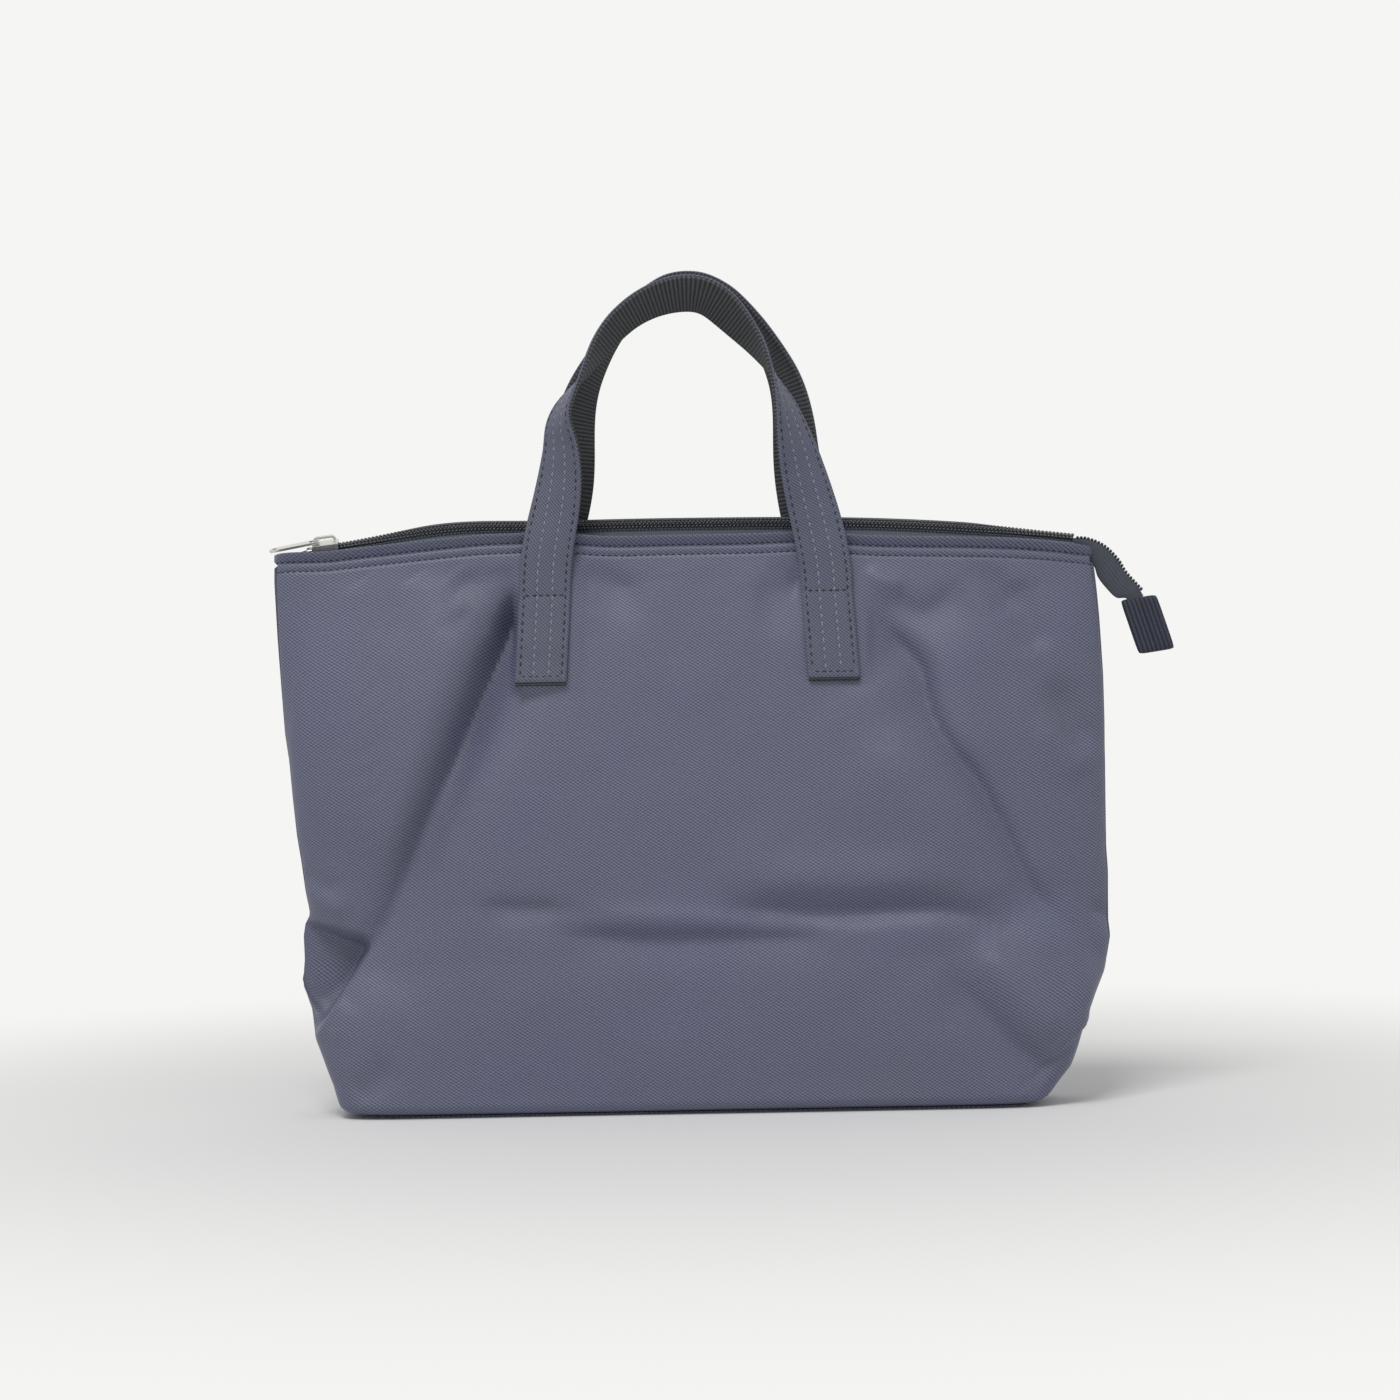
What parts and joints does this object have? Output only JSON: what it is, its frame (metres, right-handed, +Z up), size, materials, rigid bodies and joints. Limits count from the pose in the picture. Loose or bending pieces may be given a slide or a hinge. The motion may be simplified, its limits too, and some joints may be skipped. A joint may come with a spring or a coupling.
{
  "type": "tote bag",
  "caption": "Zip-top tote bag in navy coated twill with a flat boxed base, flat strap handles, a coil zip and a hanging zip tail with an end tab.",
  "frame": {"origin": "middle of the underside of the base panel, on the surface that the bag stands on", "axes": "+X to the right seen from the front, towards the zip tail; +Y from the front panel to the back panel; +Z up, towards the handles"},
  "size_m": [0.4526, 0.06, 0.4262],
  "materials": {
    "navy_twill": "coated twill with a soft sheen",
    "facing_cloth": "matt",
    "zip_tape": "woven tape, matt",
    "coil_nylon": "smooth nylon coil",
    "black_webbing": "ribbed webbing",
    "plated_metal": "nickel plated"
  },
  "bodies": {
    "bag_body": {"front_panel": "navy_twill", "back_panel": "navy_twill", "base_panel": "navy_twill", "front_handle_left_end": "navy_twill", "front_handle_right_end": "navy_twill", "back_handle_left_end": "navy_twill", "back_handle_right_end": "navy_twill", "front_hem_facing": "facing_cloth", "back_hem_facing": "facing_cloth", "front_zip_tape": "zip_tape", "back_zip_tape": "zip_tape", "front_zip_coil": "coil_nylon", "back_zip_coil": "coil_nylon", "base_seam_binding_front": "black_webbing", "base_seam_binding_back": "black_webbing", "base_seam_binding_left": "black_webbing", "base_seam_binding_right": "black_webbing", "left_side_seam_binding": "black_webbing", "right_side_seam_binding": "black_webbing", "front_top_stop": "plated_metal", "back_top_stop": "plated_metal"},
    "zip_slider_body": {"zip_slider": "plated_metal"},
    "zip_pull_body": {"zip_pull": "plated_metal"},
    "front_handle": {"front_handle_webbing": "black_webbing", "front_handle_cover": "navy_twill"},
    "back_handle": {"back_handle_webbing": "black_webbing", "back_handle_cover": "navy_twill"},
    "zip_tail": {"zip_tail_tape": "zip_tape", "zip_tail_coil": "coil_nylon", "zip_tail_tab": "black_webbing"}
  },
  "joints": [
    {"name": "zip_slider_travel", "type": "hinge", "parent": "bag_body", "child": "zip_slider_body", "pos_m": [0, 0, -1.29337], "axis": [0, 1, 0], "range_deg": [0, 13]},
    {"name": "zip_pull_swing", "type": "hinge", "parent": "zip_slider_body", "child": "zip_pull_body", "pos_m": [-0.1887, -0.00139, 0.2896], "axis": [-0.0397, 0.9397, 0.3397], "range_deg": [0, 140]},
    {"name": "front_handle_fold", "type": "hinge", "parent": "bag_body", "child": "front_handle", "pos_m": [0, -0.01945, 0.2597], "axis": [1, 0, 0], "range_deg": [0, 168]},
    {"name": "back_handle_fold", "type": "hinge", "parent": "bag_body", "child": "back_handle", "pos_m": [0, 0.01945, 0.2597], "axis": [-1, 0, 0], "range_deg": [0, 168]},
    {"name": "zip_tail_lift", "type": "hinge", "parent": "bag_body", "child": "zip_tail", "pos_m": [0.1953, 0, 0.2864], "axis": [0, -1, 0], "range_deg": [0, 80]}
  ]
}
